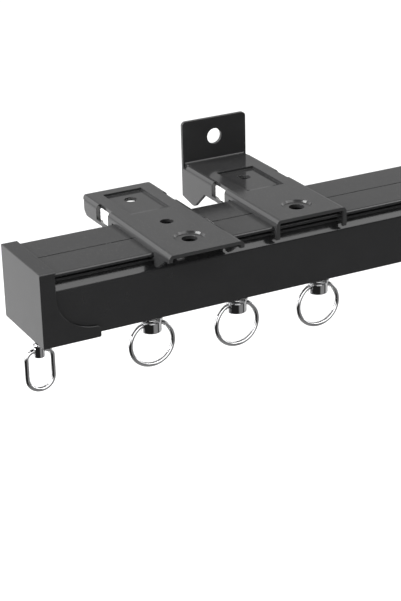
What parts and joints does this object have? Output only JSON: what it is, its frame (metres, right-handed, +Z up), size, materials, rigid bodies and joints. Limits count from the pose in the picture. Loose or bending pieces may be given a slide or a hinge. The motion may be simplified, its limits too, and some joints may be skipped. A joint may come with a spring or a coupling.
{
  "type": "curtain track",
  "caption": "Straight curtain track with rolling ring carriers, end caps with end rings, a ceiling bracket and a wall bracket with sliding latches.",
  "frame": {"origin": "centre of the wall bracket's screw hole, on the face that meets the wall", "axes": "+X along the track towards its right end, +Y back into the wall, +Z up"},
  "size_m": [0.3019, 0.0869, 0.0722],
  "materials": {
    "track_black": "black satin coating",
    "bracket_black": "black gloss paint",
    "cap_black": "moulded, semi-gloss",
    "white_nylon": "moulded nylon",
    "blue_nylon": "moulded, semi-gloss",
    "chrome": "polished",
    "satin_steel": "satin, zinc plated",
    "bearing_steel": "ground"
  },
  "bodies": {
    "frame": {"track": "track_black", "end_cap_left": "cap_black", "end_cap_right": "cap_black", "ceiling_bracket": "bracket_black", "wall_bracket": "bracket_black"},
    "ceiling_latch": {"ceiling_latch": "white_nylon"},
    "wall_latch": {"wall_latch": "white_nylon"},
    "end_swivel_left": {"end_swivel_left": "chrome"},
    "end_ring_left": {"end_ring_left": "chrome"},
    "end_swivel_right": {"end_swivel_right": "chrome"},
    "end_ring_right": {"end_ring_right": "chrome"},
    "carrier_1": {"carrier_1_yoke": "satin_steel", "carrier_1_leg_sleeves": "white_nylon", "carrier_1_axle": "satin_steel"},
    "carrier_1_front_wheel": {"carrier_1_front_tyre": "blue_nylon", "carrier_1_front_race": "bearing_steel", "carrier_1_front_cage": "bearing_steel", "carrier_1_front_balls": "bearing_steel"},
    "carrier_1_back_wheel": {"carrier_1_back_tyre": "blue_nylon", "carrier_1_back_race": "bearing_steel", "carrier_1_back_cage": "bearing_steel", "carrier_1_back_balls": "bearing_steel"},
    "carrier_1_swivel": {"carrier_1_swivel": "chrome"},
    "carrier_1_ring": {"carrier_1_ring": "chrome"},
    "carrier_2": {"carrier_2_yoke": "satin_steel", "carrier_2_leg_sleeves": "white_nylon", "carrier_2_axle": "satin_steel"},
    "carrier_2_front_wheel": {"carrier_2_front_tyre": "blue_nylon", "carrier_2_front_race": "bearing_steel", "carrier_2_front_cage": "bearing_steel", "carrier_2_front_balls": "bearing_steel"},
    "carrier_2_back_wheel": {"carrier_2_back_tyre": "blue_nylon", "carrier_2_back_race": "bearing_steel", "carrier_2_back_cage": "bearing_steel", "carrier_2_back_balls": "bearing_steel"},
    "carrier_2_swivel": {"carrier_2_swivel": "chrome"},
    "carrier_2_ring": {"carrier_2_ring": "chrome"},
    "carrier_3": {"carrier_3_yoke": "satin_steel", "carrier_3_leg_sleeves": "white_nylon", "carrier_3_axle": "satin_steel"},
    "carrier_3_front_wheel": {"carrier_3_front_tyre": "blue_nylon", "carrier_3_front_race": "bearing_steel", "carrier_3_front_cage": "bearing_steel", "carrier_3_front_balls": "bearing_steel"},
    "carrier_3_back_wheel": {"carrier_3_back_tyre": "blue_nylon", "carrier_3_back_race": "bearing_steel", "carrier_3_back_cage": "bearing_steel", "carrier_3_back_balls": "bearing_steel"},
    "carrier_3_swivel": {"carrier_3_swivel": "chrome"},
    "carrier_3_ring": {"carrier_3_ring": "chrome"}
  },
  "joints": [
    {"name": "ceiling_latch_slide", "type": "slide", "parent": "frame", "child": "ceiling_latch", "axis": [0, 1, 0], "range_m": [0, 0.0046]},
    {"name": "wall_latch_slide", "type": "slide", "parent": "frame", "child": "wall_latch", "axis": [0, 1, 0], "range_m": [0, 0.0046]},
    {"name": "end_swivel_left_turn", "type": "hinge", "parent": "frame", "child": "end_swivel_left", "pos_m": [-0.1026, -0.05785, -0.04725], "axis": [0, 0, 1], "continuous": true},
    {"name": "end_ring_left_swing", "type": "hinge", "parent": "end_swivel_left", "child": "end_ring_left", "pos_m": [-0.1026, -0.05785, -0.04725], "axis": [1, 0, 0], "range_deg": [-80, 80]},
    {"name": "end_swivel_right_turn", "type": "hinge", "parent": "frame", "child": "end_swivel_right", "pos_m": [0.1874, -0.05785, -0.04725], "axis": [0, 0, 1], "continuous": true},
    {"name": "end_ring_right_swing", "type": "hinge", "parent": "end_swivel_right", "child": "end_ring_right", "pos_m": [0.1874, -0.05785, -0.04725], "axis": [1, 0, 0], "range_deg": [-80, 80]},
    {"name": "carrier_1_slide", "type": "slide", "parent": "frame", "child": "carrier_1", "axis": [1, 0, 0], "range_m": [-0.018, 0.015]},
    {"name": "carrier_1_front_wheel_spin", "type": "hinge", "parent": "carrier_1", "child": "carrier_1_front_wheel", "pos_m": [-0.0578, -0.06655, -0.0266], "axis": [0, 1, 0], "continuous": true},
    {"name": "carrier_1_back_wheel_spin", "type": "hinge", "parent": "carrier_1", "child": "carrier_1_back_wheel", "pos_m": [-0.0578, -0.04915, -0.0266], "axis": [0, 1, 0], "continuous": true},
    {"name": "carrier_1_swivel_turn", "type": "hinge", "parent": "carrier_1", "child": "carrier_1_swivel", "pos_m": [-0.0578, -0.05785, -0.04725], "axis": [0, 0, 1], "continuous": true},
    {"name": "carrier_1_ring_swing", "type": "hinge", "parent": "carrier_1_swivel", "child": "carrier_1_ring", "pos_m": [-0.0578, -0.05785, -0.04725], "axis": [1, 0, 0], "range_deg": [-80, 80]},
    {"name": "carrier_2_slide", "type": "slide", "parent": "frame", "child": "carrier_2", "axis": [1, 0, 0], "range_m": [-0.015, 0.015]},
    {"name": "carrier_2_front_wheel_spin", "type": "hinge", "parent": "carrier_2", "child": "carrier_2_front_wheel", "pos_m": [-0.0219, -0.06655, -0.0266], "axis": [0, 1, 0], "continuous": true},
    {"name": "carrier_2_back_wheel_spin", "type": "hinge", "parent": "carrier_2", "child": "carrier_2_back_wheel", "pos_m": [-0.0219, -0.04915, -0.0266], "axis": [0, 1, 0], "continuous": true},
    {"name": "carrier_2_swivel_turn", "type": "hinge", "parent": "carrier_2", "child": "carrier_2_swivel", "pos_m": [-0.0219, -0.05785, -0.04725], "axis": [0, 0, 1], "continuous": true},
    {"name": "carrier_2_ring_swing", "type": "hinge", "parent": "carrier_2_swivel", "child": "carrier_2_ring", "pos_m": [-0.0219, -0.05785, -0.04725], "axis": [1, 0, 0], "range_deg": [-80, 80]},
    {"name": "carrier_3_slide", "type": "slide", "parent": "frame", "child": "carrier_3", "axis": [1, 0, 0], "range_m": [-0.015, 0.1465]},
    {"name": "carrier_3_front_wheel_spin", "type": "hinge", "parent": "carrier_3", "child": "carrier_3_front_wheel", "pos_m": [0.014, -0.06655, -0.0266], "axis": [0, 1, 0], "continuous": true},
    {"name": "carrier_3_back_wheel_spin", "type": "hinge", "parent": "carrier_3", "child": "carrier_3_back_wheel", "pos_m": [0.014, -0.04915, -0.0266], "axis": [0, 1, 0], "continuous": true},
    {"name": "carrier_3_swivel_turn", "type": "hinge", "parent": "carrier_3", "child": "carrier_3_swivel", "pos_m": [0.014, -0.05785, -0.04725], "axis": [0, 0, 1], "continuous": true},
    {"name": "carrier_3_ring_swing", "type": "hinge", "parent": "carrier_3_swivel", "child": "carrier_3_ring", "pos_m": [0.014, -0.05785, -0.04725], "axis": [1, 0, 0], "range_deg": [-80, 80]}
  ]
}
